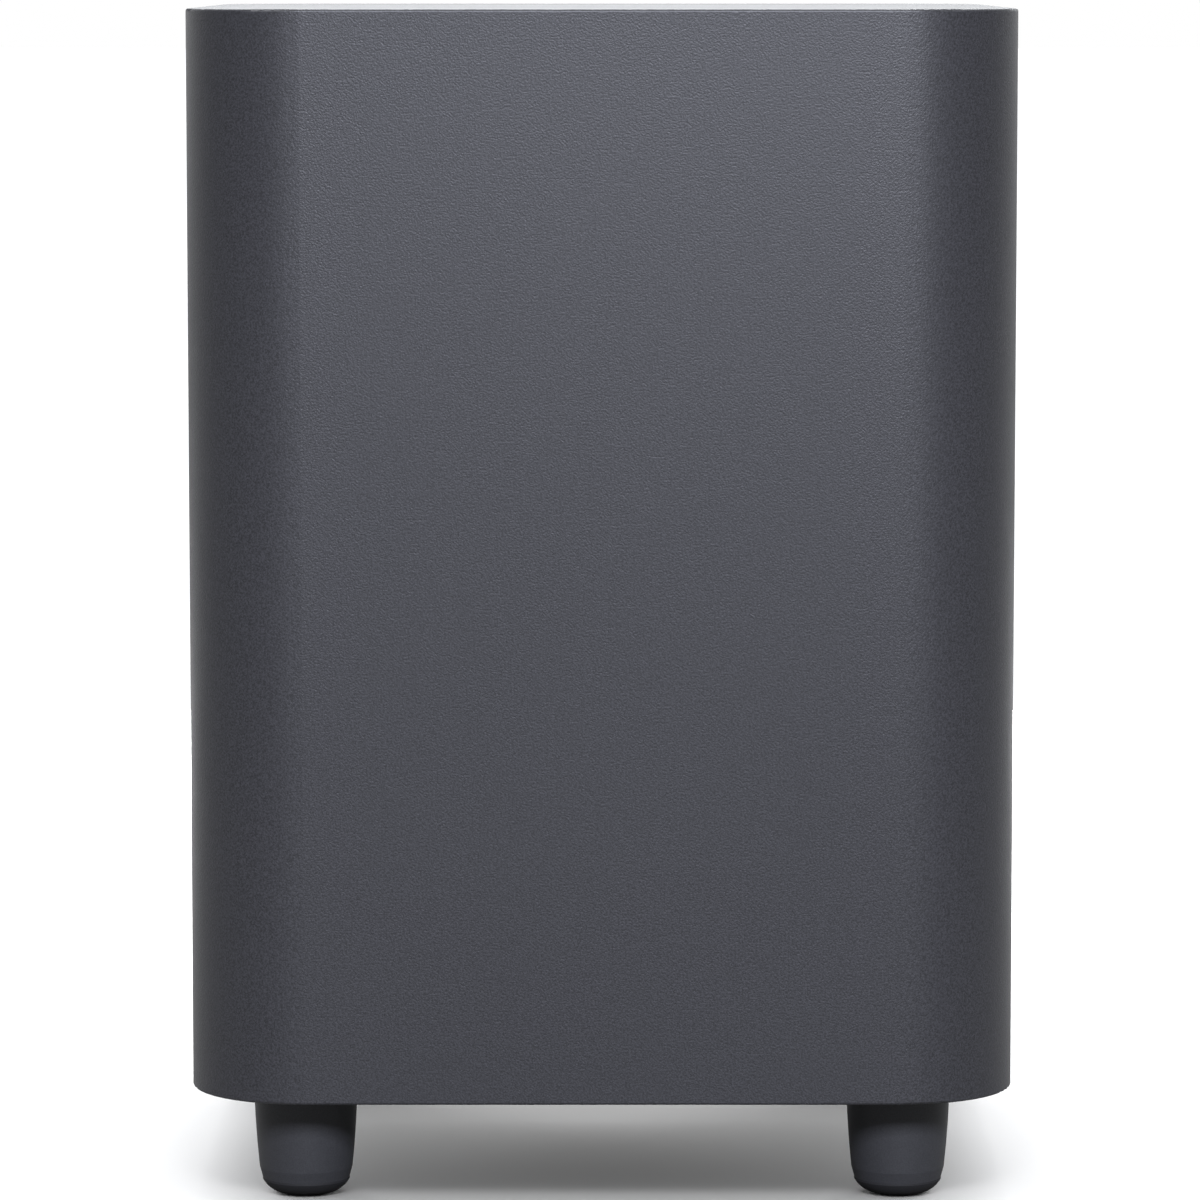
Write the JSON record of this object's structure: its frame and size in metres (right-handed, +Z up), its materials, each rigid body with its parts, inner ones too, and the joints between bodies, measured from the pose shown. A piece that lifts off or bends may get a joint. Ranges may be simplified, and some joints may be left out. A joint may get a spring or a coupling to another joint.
{
  "type": "wireless subwoofer",
  "caption": "Down-firing wireless subwoofer of a soundbar system: square cabinet with rounded upright corners on short round feet, rear port and rear mains panel.",
  "frame": {"origin": "centre of the footprint, on the floor plane that the soles rest on", "axes": "+Z up, the plain front faces -Y, the port and the mains panel face +Y, +X is to the right seen from the front"},
  "size_m": [0.305, 0.305, 0.44],
  "materials": {
    "cabinet_film": "satin dark grey film on fibreboard",
    "baffle_paint": "matt black paint on fibreboard",
    "raw_board": "raw fibreboard",
    "port_plastic": "fine textured black",
    "wadding": "loose polyester fibre",
    "foot_plastic": "satin dark grey",
    "sole_rubber": "matt black",
    "gasket_foam": "closed-cell foam",
    "surround_rubber": "satin black",
    "screw_black": "black oxide",
    "zinc_steel": "zinc plated",
    "basket_cast": "black powder coat on die-cast aluminium",
    "cone_paper": "pressed pulp, black",
    "cap_paper": "coated pulp, black",
    "former_foil": "bare foil",
    "copper_wire": "enamelled copper",
    "spider_cloth": "resin-treated cotton",
    "motor_steel": "zinc plated steel",
    "ferrite": "ground ferrite",
    "phenolic": "phenolic board",
    "braid": "woven copper braid",
    "amp_plate_coat": "black powder coat",
    "inlet_plastic": "black nylon",
    "pin_nickel": "nickel plated",
    "button_plastic": "matt black",
    "clear_plastic": "clear diffuse acrylic",
    "board_green": "solder mask",
    "sleeve_black": "shrink sleeve",
    "winding": "ferrite core with taped winding",
    "fuse_ceramic": "glazed ceramic tube with tinned caps",
    "bare_aluminium": "extruded, bare",
    "lead_pvc": "soft insulation"
  },
  "bodies": {
    "root": {"amp_board": "board_green", "amp_gasket": "gasket_foam", "amp_heatsink": "bare_aluminium", "amp_plate": "amp_plate_coat", "amp_screws": "screw_black", "board_screws": "zinc_steel", "board_standoffs": "zinc_steel", "bottom_baffle": "baffle_paint", "bulk_capacitors": "sleeve_black", "cabinet_shell": "cabinet_film", "control_board": "board_green", "control_lead": "lead_pvc", "driver_basket": "basket_cast", "driver_gasket": "gasket_foam", "driver_screws": "screw_black", "ferrite_magnet": "ferrite", "foot_front_left": "foot_plastic", "foot_front_right": "foot_plastic", "foot_rear_left": "foot_plastic", "foot_rear_right": "foot_plastic", "foot_screws": "zinc_steel", "foot_tee_nuts": "zinc_steel", "fuse": "fuse_ceramic", "glue_blocks": "raw_board", "inlet_pins": "pin_nickel", "light_pipe": "clear_plastic", "magnet_top_plate": "motor_steel", "mains_choke": "winding", "mains_inlet": "inlet_plastic", "output_inductors": "winding", "pole_yoke": "motor_steel", "port_flare": "port_plastic", "port_gasket": "gasket_foam", "port_tube": "port_plastic", "power_board": "board_green", "sole_front_left": "sole_rubber", "sole_front_right": "sole_rubber", "sole_rear_left": "sole_rubber", "sole_rear_right": "sole_rubber", "speaker_leads": "lead_pvc", "spider": "spider_cloth", "status_led": "clear_plastic", "surround": "surround_rubber", "surround_trim_ring": "gasket_foam", "tact_switch": "inlet_plastic", "terminal_strip": "phenolic", "tinsel_leads": "braid", "top_panel": "cabinet_film", "transformer": "winding", "wadding_front": "wadding", "wadding_top": "wadding", "window_brace": "raw_board", "wireless_module": "zinc_steel"},
    "cone_assembly": {"cone": "cone_paper", "dust_cap": "cap_paper", "voice_coil_former": "former_foil", "voice_coil": "copper_wire"},
    "pair_button": {"pair_button": "button_plastic", "switch_plunger": "button_plastic"}
  },
  "joints": [
    {"name": "cone_stroke", "type": "slide", "parent": "root", "child": "cone_assembly", "axis": [0, 0, 1], "range_m": [-0.008, 0.008], "stiffness_N_per_m": 2800, "deforming": ["surround", "spider", "tinsel_leads"]},
    {"name": "pair_button_press", "type": "slide", "parent": "root", "child": "pair_button", "axis": [0, -1, 0], "range_m": [0, 0.0008], "stiffness_N_per_m": 1500}
  ]
}
